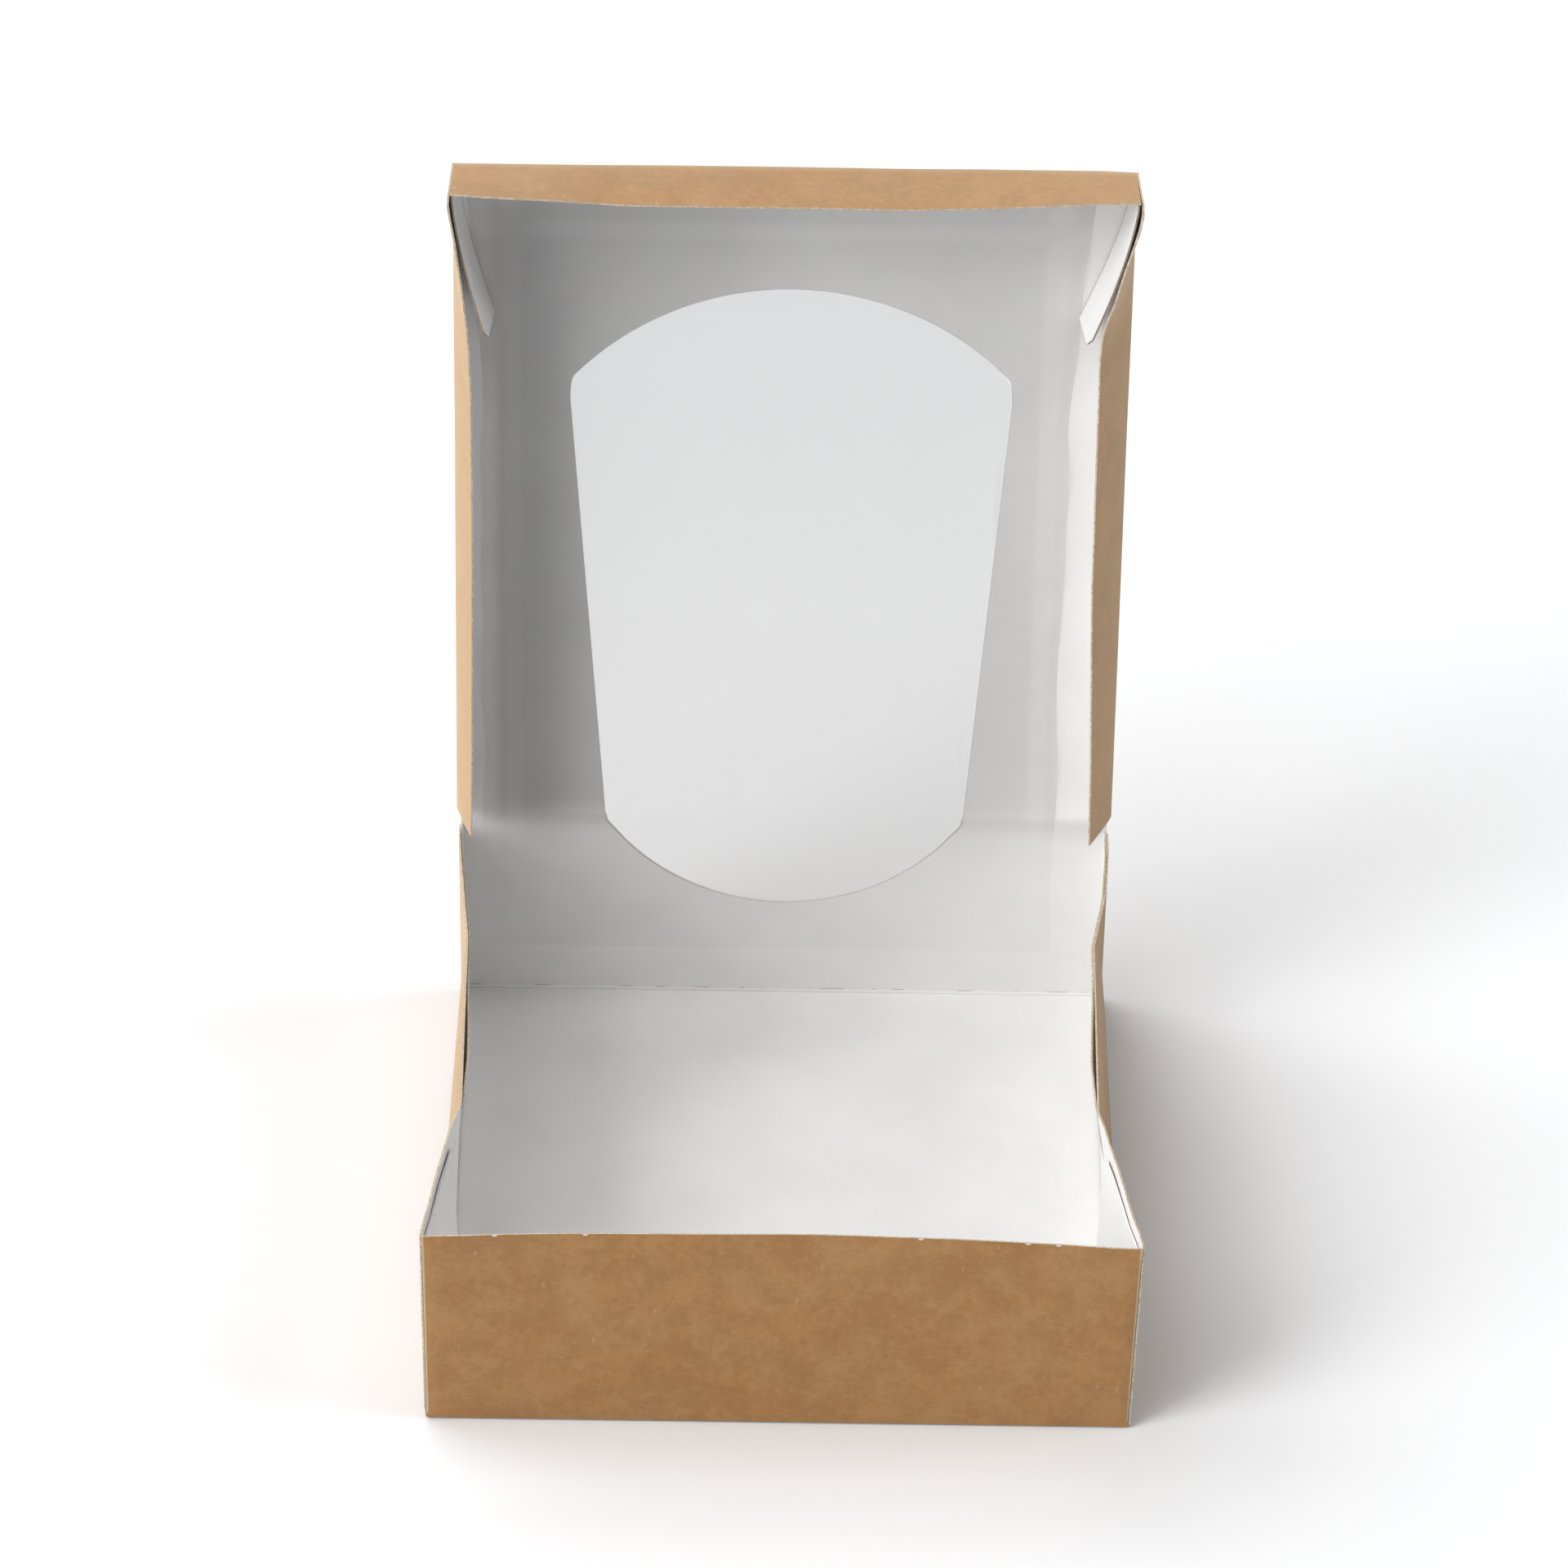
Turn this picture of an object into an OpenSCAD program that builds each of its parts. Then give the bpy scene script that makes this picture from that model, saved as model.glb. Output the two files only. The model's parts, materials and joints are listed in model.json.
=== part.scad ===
// Takeaway box of kraft board with a hinged lid. The tray and the lid are one
// die-cut sheet, folded and glued at the tray's corners, and a clear window
// runs from the lid over the hinge crease and down the back wall.
//
// The front of the box faces -Y. The origin is the middle of the tray's
// underside. Heights run up +Z.

/* [Tray] */
// Width of the tray along its floor folds
box_w = 150; // [120:1:190]
// Depth of the tray, front wall to back wall
box_d = 158; // [130:1:200]
// Height of the front wall and the side walls
wall_h = 48; // [32:1:58]
// How far the hinge crease stands above the side walls
hinge_rise = 2.5; // [1.5:0.1:5]
// Thickness of the board
board_t = 0.4; // [0.3:0.05:0.5]
// How far the rim of the front wall bows in at its middle
front_bow = 2.6; // [0:0.1:5]

/* [Side walls] */
// Inward lean of the left rim above the front diagonal crease
left_lean_front = 5.7; // [2:0.1:8]
// Inward lean of the left rim above the rear diagonal crease
left_lean_rear = 4.2; // [2:0.1:8]
// Inward lean of the right rim above the front diagonal crease
right_lean_front = 6.8; // [2:0.1:8]
// Inward lean of the right rim above the rear diagonal crease
right_lean_rear = 5.4; // [2:0.1:8]
// How far the rear corner of each side wall is trimmed down
rear_trim = 1.5; // [0:0.1:3]

/* [Inner tabs] */
// Length of the tabs on the front wall
front_tab_len = 36; // [20:1:45]
// How far the front tabs stop below the rim
front_tab_drop = 3; // [1:0.1:8]
// How far the foot of a front tab swings inward at its free end
front_tab_swing = 6.8; // [4:0.1:9]
// Length of the tabs on the back wall
rear_tab_len = 105; // [60:1:110]
// How far the rear tabs stop below the rim
rear_tab_drop = 0.8; // [0.5:0.1:5]
// How far the foot of a rear tab stands off the foot of the side wall
rear_tab_foot = 1.4; // [0.4:0.1:3]
// Gap between a tab and the floor
tab_lift = 0.5; // [0.3:0.1:2]
// Gap between a glued tab and the wall it lines
glue_gap = 0.2; // [0.1:0.05:0.5]

/* [Lid] */
// Height of the lid's walls
lid_wall_h = 19; // [12:1:28]
// Angle that the lid stands open, from closed
lid_open = 96.5; // [60:0.5:150]
// Gap between the front walls of the tray and the closed lid
lid_front_gap = 0.4; // [0.2:0.1:1.5]
// Gap between the tray's front corners and the lid's tabs
lid_tab_gap = 0.15; // [0.1:0.05:0.6]
// Gap between the closed lid's side walls and the tray's
lid_side_gap = 0.35; // [0.2:0.05:0.6]
// Length of the tabs on the lid's front wall
lid_tab_len = 34; // [18:1:44]
// How far the lid's tabs stop short of the lid's rim
lid_tab_drop = 1.5; // [0.8:0.1:4]
// How much less the lid's tabs turn in than the tray's corners, in degrees
lid_tab_ease = 1; // [0.5:0.1:2]
// How far each lid tab runs straight back before it turns in
lid_tab_stub = 2; // [1.5:0.1:4]
// How far the lid's side walls start from the hinge crease
lid_wall_start = 1; // [0.6:0.1:3]
// How much further the rim of a lid side wall starts than its fold
lid_wall_mitre = 3; // [1:0.5:8]

/* [Window] */
// How far the window reaches up the lid from the crease
window_reach = 130; // [90:1:138]
// How far the window reaches down the back wall from the crease
window_drop = 24; // [10:1:38]
// Width of the window at the crease
window_crease_w = 82.4; // [50:1:110]
// Width of the window at its shoulders
window_shoulder_w = 99.4; // [60:1:124]
// Distance of the shoulders from the crease
window_shoulder = 104; // [70:1:110]
// Radius of the window's top arc
window_top_r = 63.5; // [60:1:120]
// Radius of the window's bottom arc
window_bottom_r = 47; // [46:1:90]
// Radius that rounds the window's corners
window_corner_r = 7; // [2:0.5:10]

/* [Film] */
// Thickness of the clear film
film_t = 0.2; // [0.15:0.05:0.3]
// Width of the film
film_w = 134; // [126:1:146]
// How far the film lies off centre
film_shift = -2; // [-3:0.5:3]
// How far the film reaches up the lid from the crease
film_reach = 147; // [140:1:154]
// How far the film reaches down the back wall from the crease
film_drop = 38; // [32:1:46]
// Gap between each half of the film and the crease
film_gap = 1; // [0.7:0.1:2]

/* [Hidden] */

// Each half of the hinge stops this far from the crease line
crease_gap = board_t / 2 + 0.1;
hinge_y = box_d / 2 - board_t / 2;
hinge_z = wall_h + hinge_rise;

// Half widths of the closed lid, which passes outside the tray with its tabs
lid_tab_out = box_w / 2 + lid_tab_gap + board_t;
lid_in = lid_tab_out + glue_gap / 2;
lid_out = lid_in + board_t;
lid_len = hinge_y + box_d / 2 + lid_front_gap + board_t;
// Height above the table of the closed lid's rim
lid_rim_z = hinge_z - lid_wall_h;

// Cells across each corner triangle and along the middle of a side wall
corner_cells = 4;
middle_cells = 5;
bow_cells = 16;
tab_cells = 10;
curve_steps = 120;

// A thin closed sheet from a grid of points on its outer face, rows upwards and
// columns to the right as seen from outside. thick is the step to its inner
// face. The first half of the columns is split along rising diagonals and the
// rest along falling ones, so the creases of the corners lie on edges.
module sheet(grid, thick) {
    rows = len(grid);
    cols = len(grid[0]);
    side = rows * cols;
    outer = [for (row = grid) each row];
    inner = [for (p = outer) p + thick];
    function at(r, c) = r * cols + c;
    skin = [
        for (r = [0 : rows - 2], c = [0 : cols - 2])
            let (a = at(r, c), b = at(r, c + 1), e = at(r + 1, c + 1), d = at(r + 1, c))
                each c < (cols - 1) / 2 ? [[a, d, e], [a, e, b]] : [[a, d, b], [d, e, b]]
    ];
    back = [for (f = skin) [side + f[2], side + f[1], side + f[0]]];
    low = [for (c = [0 : cols - 2]) [at(0, c), at(0, c + 1), side + at(0, c + 1), side + at(0, c)]];
    high = [
        for (c = [0 : cols - 2])
            let (a = at(rows - 1, c), b = at(rows - 1, c + 1)) [b, a, side + a, side + b]
    ];
    first = [for (r = [0 : rows - 2]) [at(r + 1, 0), at(r, 0), side + at(r, 0), side + at(r + 1, 0)]];
    last = [
        for (r = [0 : rows - 2])
            let (a = at(r, cols - 1), b = at(r + 1, cols - 1)) [a, b, side + b, side + a]
    ];
    polyhedron(points = concat(outer, inner), faces = concat(skin, back, low, high, first, last));
}

// Lean of a side wall's rim at a distance from the front wall
function rim_lean(from_front, lean_front, lean_rear) =
    let (
        middle = box_d - 2 * wall_h,
        share = min(1, max(0, (from_front - wall_h) / middle))
    )
    lean_front + (lean_rear - lean_front) * share;

// How far a side wall stands in from its floor fold. The corner triangles turn
// about the upright corners, and the panel between the two diagonal creases
// turns about the floor fold.
function wall_inset(from_front, z, lean_front, lean_rear) =
    rim_lean(from_front, lean_front, lean_rear)
    * min(z, from_front, box_d - from_front) / wall_h;

// Height of a side wall's rim, trimmed towards the rear corner
function rim_z(from_front) =
    wall_h - rear_trim * max(0, 1 - (box_d - from_front) / (wall_h / corner_cells));

// Places from the front wall where the columns of a side wall stand
function wall_columns() = concat(
    [for (i = [0 : corner_cells]) wall_h * i / corner_cells],
    [for (i = [1 : middle_cells - 1]) wall_h + (box_d - 2 * wall_h) * i / middle_cells],
    [for (i = [corner_cells : -1 : 0]) box_d - wall_h * i / corner_cells]
);

module side_wall(lean_front, lean_rear) {
    grid = [
        for (j = [0 : corner_cells]) [
            for (d = wall_columns())
                let (level = wall_h * j / corner_cells, z = min(level, rim_z(d)))
                    [box_w / 2 - wall_inset(d, z, lean_front, lean_rear), d - box_d / 2, z]
        ]
    ];
    sheet(grid, [-board_t, 0, 0]);
}

module front_wall() {
    grid = [
        for (z = [0, wall_h / 2, wall_h]) [
            for (i = [0 : bow_cells])
                let (u = 2 * i / bow_cells - 1, bow = front_bow * (1 - u * u) * pow(z / wall_h, 2))
                    [u * box_w / 2, bow - box_d / 2, z]
        ]
    ];
    sheet(grid, [0, board_t, 0]);
}

// Tab of the front wall, lining a side wall's front corner. Its top follows the
// wall and its foot swings further in.
module front_tab(lean_front, lean_rear) {
    top = wall_h - front_tab_drop;
    foot = board_t + tab_lift;
    grid = [
        for (z = [foot, (foot + top) / 2, top]) [
            for (i = [0 : tab_cells])
                let (
                    share = (z - foot) / (top - foot),
                    d = board_t / 2 + (front_tab_len - board_t / 2) * i / tab_cells,
                    held = wall_inset(d, max(z, d), lean_front, lean_rear),
                    swing = front_tab_swing * d / front_tab_len,
                    inset = board_t + glue_gap + max(held, swing + (held - swing) * share)
                )
                    [box_w / 2 - inset, d - box_d / 2, z]
        ]
    ];
    sheet(grid, [-board_t, 0, 0]);
}

// Tab of the back wall. It lines the side wall past both its diagonal creases,
// glued at its ends, with its foot standing off the floor fold.
module rear_tab(lean_front, lean_rear) {
    top = wall_h - rear_tab_drop - rear_trim;
    foot = board_t + tab_lift;
    free = box_d - rear_tab_len;
    grid = [
        for (z = [foot, (foot + top) / 2, top]) [
            for (i = [0 : 2 * tab_cells])
                let (
                    d = free + (rear_tab_len - board_t / 2) * i / (2 * tab_cells),
                    off = rear_tab_foot * min(1, (box_d - d) / wall_h) * (top - z) / (top - foot),
                    inset = wall_inset(d, z, lean_front, lean_rear) + board_t + glue_gap + off
                )
                    [box_w / 2 - inset, d - box_d / 2, z]
        ]
    ];
    sheet(grid, [-board_t, 0, 0]);
}

// Everything on the right-hand side of the tray
module tray_side(lean_front, lean_rear) {
    side_wall(lean_front, lean_rear);
    front_tab(lean_front, lean_rear);
    rear_tab(lean_front, lean_rear);
}

// Outline of the window on the flat sheet, with the hinge crease on the X axis
module window_outline() {
    half_shoulder = window_shoulder_w / 2;
    half_crease = window_crease_w / 2;
    // The straight sides run on past the shoulders and the crease
    flare = (half_shoulder - half_crease) / window_shoulder;
    above = window_reach + window_corner_r;
    below = window_drop + window_corner_r;
    offset(r = window_corner_r, $fn = curve_steps)
        offset(delta = -window_corner_r)
            intersection() {
                polygon([
                    [-half_crease + flare * below, -below],
                    [half_crease - flare * below, -below],
                    [half_crease + flare * above, above],
                    [-half_crease - flare * above, above]
                ]);
                union() {
                    translate([0, window_reach - window_top_r])
                        circle(window_top_r, $fn = curve_steps);
                    translate([-window_top_r, -below])
                        square([2 * window_top_r, below + window_reach - window_top_r]);
                }
                union() {
                    translate([0, window_bottom_r - window_drop])
                        circle(window_bottom_r, $fn = curve_steps);
                    translate([-half_shoulder, 0])
                        square([window_shoulder_w, window_reach]);
                }
            }
}

// Stands the flat sheet's coordinates up on the back wall, crease at the hinge
module on_back_wall(inset, thickness) {
    translate([0, box_d / 2 - inset, hinge_z])
        rotate([90, 0, 0])
            linear_extrude(thickness)
                children();
}

// Puts the closed lid's own frame, with the hinge line on X, where the lid is
module at_lid() {
    translate([0, hinge_y, hinge_z])
        rotate([-lid_open, 0, 0])
            children();
}

// Lays the flat sheet's coordinates on the closed lid, from a height downwards
module on_lid(height, thickness) {
    translate([0, 0, height])
        rotate([180, 0, 0])
            linear_extrude(thickness)
                children();
}

module back_wall() {
    on_back_wall(0, board_t)
        difference() {
            translate([-box_w / 2, -hinge_z])
                square([box_w, hinge_z - crease_gap]);
            window_outline();
        }
}

module tray() {
    color("burlywood") {
        translate([board_t / 2 - box_w / 2, -box_d / 2, 0])
            cube([box_w - board_t, box_d, board_t]);
        front_wall();
        back_wall();
        tray_side(right_lean_front, right_lean_rear);
        mirror([1, 0, 0])
            tray_side(left_lean_front, left_lean_rear);
    }
}

// How far a lid tab has turned in at a distance from the lid's front wall
function tab_inset(d, lean_front) =
    tan(atan(lean_front / wall_h) - lid_tab_ease) * max(0, d - lid_tab_stub);

// A lid side wall in the closed lid's frame. Its rim leans in over the leaning
// wall of the tray and runs out again to its two ends.
module lid_side_wall(lean_front, lean_rear) {
    room = lid_in - box_w / 2 - lid_side_gap;
    reach = lid_rim_z / wall_h;
    start = lid_wall_start + lid_wall_mitre;
    front_kink = lid_tab_len + board_t;
    rear_inset = lean_rear * reach + room;
    front_inset = min(tab_inset(front_kink, lean_front), lean_front * reach + room);
    rim = [
        [lid_len, 0],
        [lid_len - lid_tab_stub, 0],
        [lid_len - front_kink, front_inset],
        [lid_rim_z, rear_inset],
        [start, lean_rear * start / wall_h + room]
    ];
    fold = [lid_len, lid_len - lid_tab_stub, lid_len - front_kink, lid_rim_z, lid_wall_start];
    grid = [
        [for (p = rim) [lid_out - p[1], -p[0], -lid_wall_h]],
        [for (s = fold) [lid_out, -s, 0]]
    ];
    sheet(grid, [-board_t, 0, 0]);
}

// Tab of the lid's front wall, turned in with the tray's corner behind it
module lid_tab(lean_front) {
    low = lid_tab_drop - lid_wall_h;
    high = -board_t;
    shoulder = lid_tab_drop * 2;
    grid = [
        for (z = [low, low + shoulder, high])
            let (reach = z == low ? lid_tab_len - shoulder : lid_tab_len) [
                for (d = [board_t / 2, lid_tab_stub, reach])
                    [lid_tab_out - tab_inset(d, lean_front), d - lid_len, z]
            ]
    ];
    sheet(grid, [-board_t, 0, 0]);
}

module lid_side(lean_front, lean_rear) {
    lid_side_wall(lean_front, lean_rear);
    lid_tab(lean_front);
}

module lid() {
    color("burlywood")
        at_lid() {
            on_lid(board_t / 2, board_t)
                difference() {
                    translate([board_t / 2 - lid_out, crease_gap])
                        square([2 * lid_out - board_t, lid_len - crease_gap]);
                    window_outline();
                }
            translate([-lid_out, -lid_len, -lid_wall_h])
                cube([2 * lid_out, board_t, lid_wall_h + board_t / 2]);
            lid_side(right_lean_front, right_lean_rear);
            mirror([1, 0, 0])
                lid_side(left_lean_front, left_lean_rear);
        }
}

module film_strip(from, to) {
    translate([film_shift - film_w / 2, from])
        square([film_w, to - from]);
}

// Upper part of the one sheet of film, glued inside the lid
module lid_window_film() {
    color("lightblue", 0.5)
        at_lid()
            on_lid(-board_t / 2, film_t)
                film_strip(film_gap, film_reach);
}

// Lower part of the same film, glued inside the back wall
module back_window_film() {
    color("lightblue", 0.5)
        on_back_wall(board_t, film_t)
            film_strip(-film_drop, -film_gap);
}

tray();
lid();
lid_window_film();
back_window_film();
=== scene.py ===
# %% [markdown]
# # A takeaway box of kraft board, standing open
#
# The real box is one die-cut sheet of board, brown kraft outside and white inside, with one sheet of
# clear film glued inside its window. A cube with a hole would give the size but none of the folds, so
# this lesson works as the maker does: it cuts the blank flat, folds it along its creases, lets the walls
# lean as they do on a real box, and only then gives the sheet its thickness.

import json
import math

import bpy
import numpy as np
from mathutils import Matrix, Vector, noise


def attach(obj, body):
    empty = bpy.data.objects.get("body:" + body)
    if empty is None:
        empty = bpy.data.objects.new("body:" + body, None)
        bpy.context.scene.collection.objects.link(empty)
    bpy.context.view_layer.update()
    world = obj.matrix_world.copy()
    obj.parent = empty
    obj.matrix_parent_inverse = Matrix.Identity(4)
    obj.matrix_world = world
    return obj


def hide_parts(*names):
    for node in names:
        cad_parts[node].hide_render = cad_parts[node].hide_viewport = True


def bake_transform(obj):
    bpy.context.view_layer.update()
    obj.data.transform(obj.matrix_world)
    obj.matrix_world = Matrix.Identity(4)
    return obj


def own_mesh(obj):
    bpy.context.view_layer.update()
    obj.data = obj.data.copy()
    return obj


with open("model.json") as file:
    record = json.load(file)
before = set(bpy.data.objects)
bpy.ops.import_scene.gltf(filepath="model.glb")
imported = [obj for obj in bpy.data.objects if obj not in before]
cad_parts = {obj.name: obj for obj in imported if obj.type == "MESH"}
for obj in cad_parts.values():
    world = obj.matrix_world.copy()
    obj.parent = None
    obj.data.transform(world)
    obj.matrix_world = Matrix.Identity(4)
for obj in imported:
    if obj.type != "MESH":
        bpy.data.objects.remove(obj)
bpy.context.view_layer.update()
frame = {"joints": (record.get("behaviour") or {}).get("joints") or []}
MM = 0.001
hinge = frame["joints"][0]
lid_back = -90 - hinge["range_deg"][0]

# %% [markdown]
# ## The sizes
#
# Everything is measured on the outer, brown face of the sheet. The floor lies at height zero and the
# crease of the lid is where the CAD model has its hinge. The flat sheet is laid out with x across the
# box and y along it, so the back wall, the lid and the lid's front wall follow each other behind the floor.

# %% Sizes of the sheet
BOARD = 0.4 * MM
HALF_W = 75 * MM
HALF_D = 79 * MM
WALL_H = 48 * MM
CREASE_Z = hinge["pos_m"][2]
CREASE_Y = HALF_D + CREASE_Z
LID_HALF_W = 75.5 * MM
LID_LEN = 158.6 * MM
LID_WALL = 19 * MM
LID_END = CREASE_Y + LID_LEN
CORNER = HALF_D - WALL_H
print("blank is", round((LID_END + LID_WALL + HALF_D + WALL_H) / MM), "mm long")

# %% [markdown]
# ## Working like a hand
#
# Edit-mode operators act on what is selected, so each panel of the blank gets a vertex group when it is
# added, and a group is picked by name before it is turned. With no window Blender's rotate operator
# turns the other way and forgets its pivot, so the helper turns the sign round and passes the pivot.


# %% Helpers for panels and folds
def start_mesh(name):
    """An empty piece, open in edit mode."""
    bpy.ops.object.select_all(action="DESELECT")
    mesh = bpy.data.meshes.new(name)
    sheet = bpy.data.objects.new(name, mesh)
    bpy.context.collection.objects.link(sheet)
    bpy.context.view_layer.objects.active = sheet
    sheet.select_set(True)
    bpy.ops.object.mode_set(mode="EDIT")
    return sheet


def panel(sheet, name, x_span, y_span, cells):
    """Adds a flat panel of the blank as a grid and names its points."""
    bpy.ops.mesh.select_all(action="DESELECT")
    centre = ((x_span[0] + x_span[1]) / 2, (y_span[0] + y_span[1]) / 2, 0)
    bpy.ops.mesh.primitive_grid_add(
        x_subdivisions=cells[0], y_subdivisions=cells[1], size=1, location=centre
    )
    size = (x_span[1] - x_span[0], y_span[1] - y_span[0], 1)
    bpy.ops.transform.resize(value=size, center_override=centre)
    if name in sheet.vertex_groups:
        bpy.ops.object.vertex_group_set_active(group=name)
        bpy.ops.object.vertex_group_assign()
    else:
        bpy.ops.object.vertex_group_assign_new()
        sheet.vertex_groups[-1].name = name


def pick(sheet, names):
    bpy.ops.mesh.select_all(action="DESELECT")
    for name in names:
        bpy.ops.object.vertex_group_set_active(group=name)
        bpy.ops.object.vertex_group_select()


def fold(sheet, names, axis, centre, degrees):
    """Turns panels about a fold line, right-handed about the axis."""
    pick(sheet, names)
    bpy.ops.transform.rotate(
        value=-math.radians(degrees), orient_axis=axis, orient_type="GLOBAL", center_override=centre
    )


def crease(sheet, names, point, normal, trim=False):
    """Cuts a line of edges across panels, and trims away the side that the normal points to."""
    pick(sheet, names)
    bpy.ops.mesh.bisect(plane_co=point, plane_no=normal, clear_outer=trim)


def points_of(sheet, name):
    """Indices of the points in a group, in object mode."""
    index = sheet.vertex_groups[name].index
    chosen = [v.index for v in sheet.data.vertices if any(g.group == index for g in v.groups)]
    return np.array(chosen, int)


def places(sheet):
    """Where all the points are, one row each."""
    flat = np.empty(len(sheet.data.vertices) * 3)
    sheet.data.vertices.foreach_get("co", flat)
    return flat.reshape(-1, 3)


def put_places(sheet, spots):
    sheet.data.vertices.foreach_set("co", spots.reshape(-1))
    sheet.data.update()


# %% [markdown]
# ## The flat blank
#
# Each panel is a grid of 3 mm cells, small enough to bow and lean smoothly. The side walls are made of
# three grids, so that the 45 degree creases of their end triangles run corner to corner through whole
# cells. Neighbours share the places of their points, and a merge by distance joins them into one sheet.

# %% Lay out the panels
board = start_mesh("board")
strips = {"front": (-HALF_D, -CORNER, 16), "middle": (-CORNER, CORNER, 20), "rear": (CORNER, HALF_D, 16)}
for low, high, count in strips.values():
    panel(board, "floor", (-HALF_W, HALF_W), (low, high), (50, count))
    panel(board, "left_wall", (-HALF_W - WALL_H, -HALF_W), (low, high), (16, count))
    panel(board, "right_wall", (HALF_W, HALF_W + WALL_H), (low, high), (16, count))
across = (-HALF_W, HALF_W)
panel(board, "front_wall", across, (-HALF_D - WALL_H, -HALF_D), (50, 16))
panel(board, "back_wall", across, (HALF_D, HALF_D + WALL_H), (50, 16))
panel(board, "back_wall", across, (HALF_D + WALL_H, CREASE_Y), (50, 1))
panel(board, "lid", across, (CREASE_Y, LID_END), (50, 53))
panel(board, "lid_front", across, (LID_END, LID_END + LID_WALL), (50, 6))
FRONT_TAB, FRONT_TAB_H = 36.5 * MM, 45 * MM
REAR_TAB, REAR_TAB_H = 105 * MM, 47 * MM
for side, edge in (("left", -HALF_W), ("right", HALF_W)):
    out = math.copysign(1, edge)
    ends = sorted((edge, edge + out * FRONT_TAB))
    panel(board, side + "_front_tab", ends, (-HALF_D - FRONT_TAB_H, -HALF_D), (12, 15))
    ends = sorted((edge, edge + out * REAR_TAB))
    panel(board, side + "_rear_tab", ends, (HALF_D, HALF_D + WALL_H), (35, 16))
print("panels", [g.name for g in board.vertex_groups])

# %% [markdown]
# ## Creases and trims
#
# A bisect adds a line of edges exactly where the board is scored. The tabs are trimmed clear of the floor
# fold, and the diagonals let the side walls lean. Extra lines beside the lid's crease make a soft bend.

# %% Score the creases and trim the tabs
TRIM = 1 * MM
CHAMFER = 2.2 * MM
CREASE_ROWS = (-1.7, -1.1, -0.5, 0.5, 1.1, 1.7, 2.3)
SAME_PLACE = 0.02 * MM
for side, out in (("left", -1), ("right", 1)):
    fold_x = out * HALF_W
    for end in (-1, 1):
        crease(board, [side + "_wall"], (fold_x, end * HALF_D, 0), (1, out * end, 0))
    crease(board, [side + "_rear_tab"], (fold_x, HALF_D, 0), (1, -out, 0))
    crease(board, [side + "_front_tab"], (0, -HALF_D - TRIM, 0), (0, 1, 0), trim=True)
    crease(board, [side + "_rear_tab"], (0, HALF_D + TRIM, 0), (0, -1, 0), trim=True)
    crease(board, [side + "_rear_tab"], (0, HALF_D + REAR_TAB_H, 0), (0, 1, 0), trim=True)
    corner = (fold_x + out * (FRONT_TAB - CHAMFER), -HALF_D - FRONT_TAB_H, 0)
    crease(board, [side + "_front_tab"], corner, (out, -1, 0), trim=True)
crease(board, ["front_wall"], (0, -HALF_D - TRIM, 0), (0, 1, 0))
for rise in (TRIM, REAR_TAB_H):
    crease(board, ["back_wall"], (0, HALF_D + rise, 0), (0, 1, 0))
for step in CREASE_ROWS:
    crease(board, ["back_wall", "lid"], (0, CREASE_Y + step * MM, 0), (0, 1, 0))
bpy.ops.mesh.select_all(action="SELECT")
bpy.ops.mesh.remove_doubles(threshold=SAME_PLACE)
bpy.ops.mesh.normals_make_consistent(inside=False)
bpy.ops.object.mode_set(mode="OBJECT")
if board.data.polygons[0].normal.z > 0:
    board.data.flip_normals()
print("flat blank", len(board.data.vertices), "points", len(board.data.polygons), "faces")

# %% [markdown]
# ## Punching the window
#
# The window runs over the lid's crease, and the maker punches it in the flat blank, so the lesson does the
# same: a die is extruded from the outline and taken away from the sheet. The outline is two arcs joined by
# straight sides, and the die's two upper upright edges get a bevel for the rounded shoulders. The sheet is
# open, so the boolean uses the fast solver: it cuts an open sheet the same way every time.

# %% Draw the outline of the window
WINDOW_TOP, WINDOW_TOP_R = 129.9 * MM, 66.7 * MM
WINDOW_LOW, WINDOW_LOW_R = -24.2 * MM, 48.6 * MM
SHOULDER_X, LOW_X = 49.8 * MM, 41 * MM
TOP_POINTS, LOW_POINTS = 61, 49


def arc(radius, half_chord, middle, turn, count):
    """Points of an arc about x = 0, counted anticlockwise."""
    half = math.asin(half_chord / radius)
    angles = np.linspace(turn - half, turn + half, count)
    return [(radius * math.cos(a), CREASE_Y + middle + radius * math.sin(a)) for a in angles]


outline = arc(WINDOW_TOP_R, SHOULDER_X, WINDOW_TOP - WINDOW_TOP_R, math.pi / 2, TOP_POINTS)
outline += arc(WINDOW_LOW_R, LOW_X, WINDOW_LOW + WINDOW_LOW_R, 3 * math.pi / 2, LOW_POINTS)
print("outline", len(outline), "points, shoulders", [round(c / MM, 1) for c in outline[0]])


# %% Make the die
DIE_H = 8 * MM
SHOULDER_ROUND = 5.5 * MM


def choose_object(item):
    bpy.ops.object.select_all(action="DESELECT")
    bpy.context.view_layer.objects.active = item
    item.select_set(True)


die = start_mesh("die")
bpy.ops.object.mode_set(mode="OBJECT")
die.data.from_pydata([(x, y, -DIE_H / 2) for x, y in outline], [], [list(range(len(outline)))])
bpy.ops.object.mode_set(mode="EDIT")
bpy.ops.mesh.select_all(action="SELECT")
bpy.ops.mesh.extrude_region_move(TRANSFORM_OT_translate={"value": (0, 0, DIE_H)})
bpy.ops.mesh.select_all(action="DESELECT")
bpy.ops.mesh.select_mode(type="EDGE")
bpy.ops.object.mode_set(mode="OBJECT")
shoulders = (0, TOP_POINTS - 1)
for edge in die.data.edges:
    low, high = sorted(edge.vertices)
    edge.select = low in shoulders and high - low == len(outline)
print("shoulder edges", sum(edge.select for edge in die.data.edges))
bpy.ops.object.mode_set(mode="EDIT")
bpy.ops.mesh.bevel(offset=SHOULDER_ROUND, segments=10, affect="EDGES")
bpy.ops.mesh.select_mode(type="VERT")
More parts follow.
